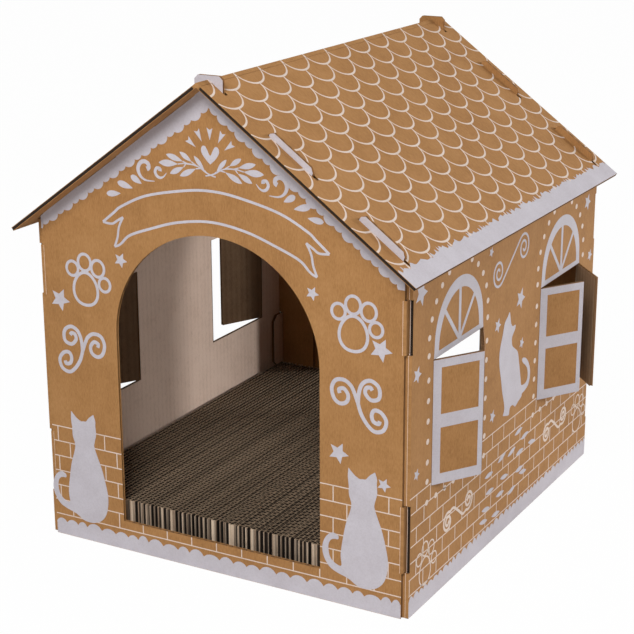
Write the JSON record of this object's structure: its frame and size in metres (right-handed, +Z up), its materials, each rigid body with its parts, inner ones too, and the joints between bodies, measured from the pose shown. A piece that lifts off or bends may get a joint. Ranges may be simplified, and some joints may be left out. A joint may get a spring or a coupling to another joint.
{
  "type": "cat house",
  "caption": "Cardboard cat house with an arched doorway at each end, shuttered side windows, a lift-off folding roof held by tabs, and scratching pads on the floor.",
  "frame": {"origin": "on the ground, under the middle of the house", "axes": "+X to the right along the front wall, +Y from the front wall to the rear wall, +Z up"},
  "size_m": [0.4012, 0.424, 0.408],
  "materials": {
    "printed_board": "kraft corrugated board printed in white",
    "roof_board": "kraft corrugated board printed in white",
    "plain_board": "plain kraft corrugated board",
    "pad_board": "cut edges of corrugated board"
  },
  "bodies": {
    "house": {"floor_panel": "plain_board", "left_wall": "printed_board", "right_wall": "printed_board", "front_wall": "printed_board", "rear_wall": "printed_board", "front_left_flange": "plain_board", "front_right_flange": "plain_board", "rear_left_flange": "plain_board", "rear_right_flange": "plain_board", "front_left_lower_lock": "printed_board", "front_left_upper_lock": "printed_board", "front_right_lower_lock": "printed_board", "front_right_upper_lock": "printed_board", "rear_left_lower_lock": "printed_board", "rear_left_upper_lock": "printed_board", "rear_right_lower_lock": "printed_board", "rear_right_upper_lock": "printed_board"},
    "roof_ridge": {"ridge_crease_front": "roof_board", "ridge_crease_middle": "roof_board", "ridge_crease_rear": "roof_board"},
    "roof_left": {"roof_left_panel": "roof_board"},
    "roof_right": {"roof_right_panel": "roof_board"},
    "left_front_fore_leaf": {"left_front_fore_shutter": "printed_board"},
    "left_front_aft_leaf": {"left_front_aft_shutter": "printed_board"},
    "left_rear_fore_leaf": {"left_rear_fore_shutter": "printed_board"},
    "left_rear_aft_leaf": {"left_rear_aft_shutter": "printed_board"},
    "right_front_fore_leaf": {"right_front_fore_shutter": "printed_board"},
    "right_front_aft_leaf": {"right_front_aft_shutter": "printed_board"},
    "right_rear_fore_leaf": {"right_rear_fore_shutter": "printed_board"},
    "right_rear_aft_leaf": {"right_rear_aft_shutter": "printed_board"},
    "left_pad": {"left_scratch_pad": "pad_board"},
    "right_pad": {"right_scratch_pad": "pad_board"}
  },
  "joints": [
    {"name": "roof_lift", "type": "slide", "parent": "house", "child": "roof_ridge", "axis": [0, 0, 1], "range_m": [0, 0.16]},
    {"name": "roof_left_fold", "type": "hinge", "parent": "roof_ridge", "child": "roof_left", "pos_m": [-0.00336, 0, 0.40258], "axis": [0, 1, 0], "range_deg": [0, 90]},
    {"name": "roof_right_fold", "type": "hinge", "parent": "roof_ridge", "child": "roof_right", "pos_m": [0.00336, 0, 0.40258], "axis": [0, -1, 0], "range_deg": [0, 90]},
    {"name": "left_front_fore_swing", "type": "hinge", "parent": "house", "child": "left_front_fore_leaf", "pos_m": [-0.17, -0.155, 0.1485], "axis": [0, 0, 1], "range_deg": [-41, 99]},
    {"name": "left_front_aft_swing", "type": "hinge", "parent": "house", "child": "left_front_aft_leaf", "pos_m": [-0.17, -0.061, 0.1485], "axis": [0, 0, -1], "range_deg": [-30, 110]},
    {"name": "left_rear_fore_swing", "type": "hinge", "parent": "house", "child": "left_rear_fore_leaf", "pos_m": [-0.17, 0.061, 0.1485], "axis": [0, 0, 1], "range_deg": [-34, 106]},
    {"name": "left_rear_aft_swing", "type": "hinge", "parent": "house", "child": "left_rear_aft_leaf", "pos_m": [-0.17, 0.155, 0.1485], "axis": [0, 0, -1], "range_deg": [-26, 114]},
    {"name": "right_front_fore_swing", "type": "hinge", "parent": "house", "child": "right_front_fore_leaf", "pos_m": [0.17, -0.155, 0.1485], "axis": [0, 0, -1], "range_deg": [-32, 108]},
    {"name": "right_front_aft_swing", "type": "hinge", "parent": "house", "child": "right_front_aft_leaf", "pos_m": [0.17, -0.061, 0.1485], "axis": [0, 0, 1], "range_deg": [-25, 115]},
    {"name": "right_rear_fore_swing", "type": "hinge", "parent": "house", "child": "right_rear_fore_leaf", "pos_m": [0.17, 0.061, 0.1485], "axis": [0, 0, -1], "range_deg": [-32, 108]},
    {"name": "right_rear_aft_swing", "type": "hinge", "parent": "house", "child": "right_rear_aft_leaf", "pos_m": [0.17, 0.155, 0.1485], "axis": [0, 0, 1], "range_deg": [-41, 99]},
    {"name": "left_pad_lift", "type": "slide", "parent": "house", "child": "left_pad", "axis": [0, 0, 1], "range_m": [0, 0.15]},
    {"name": "right_pad_lift", "type": "slide", "parent": "house", "child": "right_pad", "axis": [0, 0, 1], "range_m": [0, 0.15]}
  ]
}
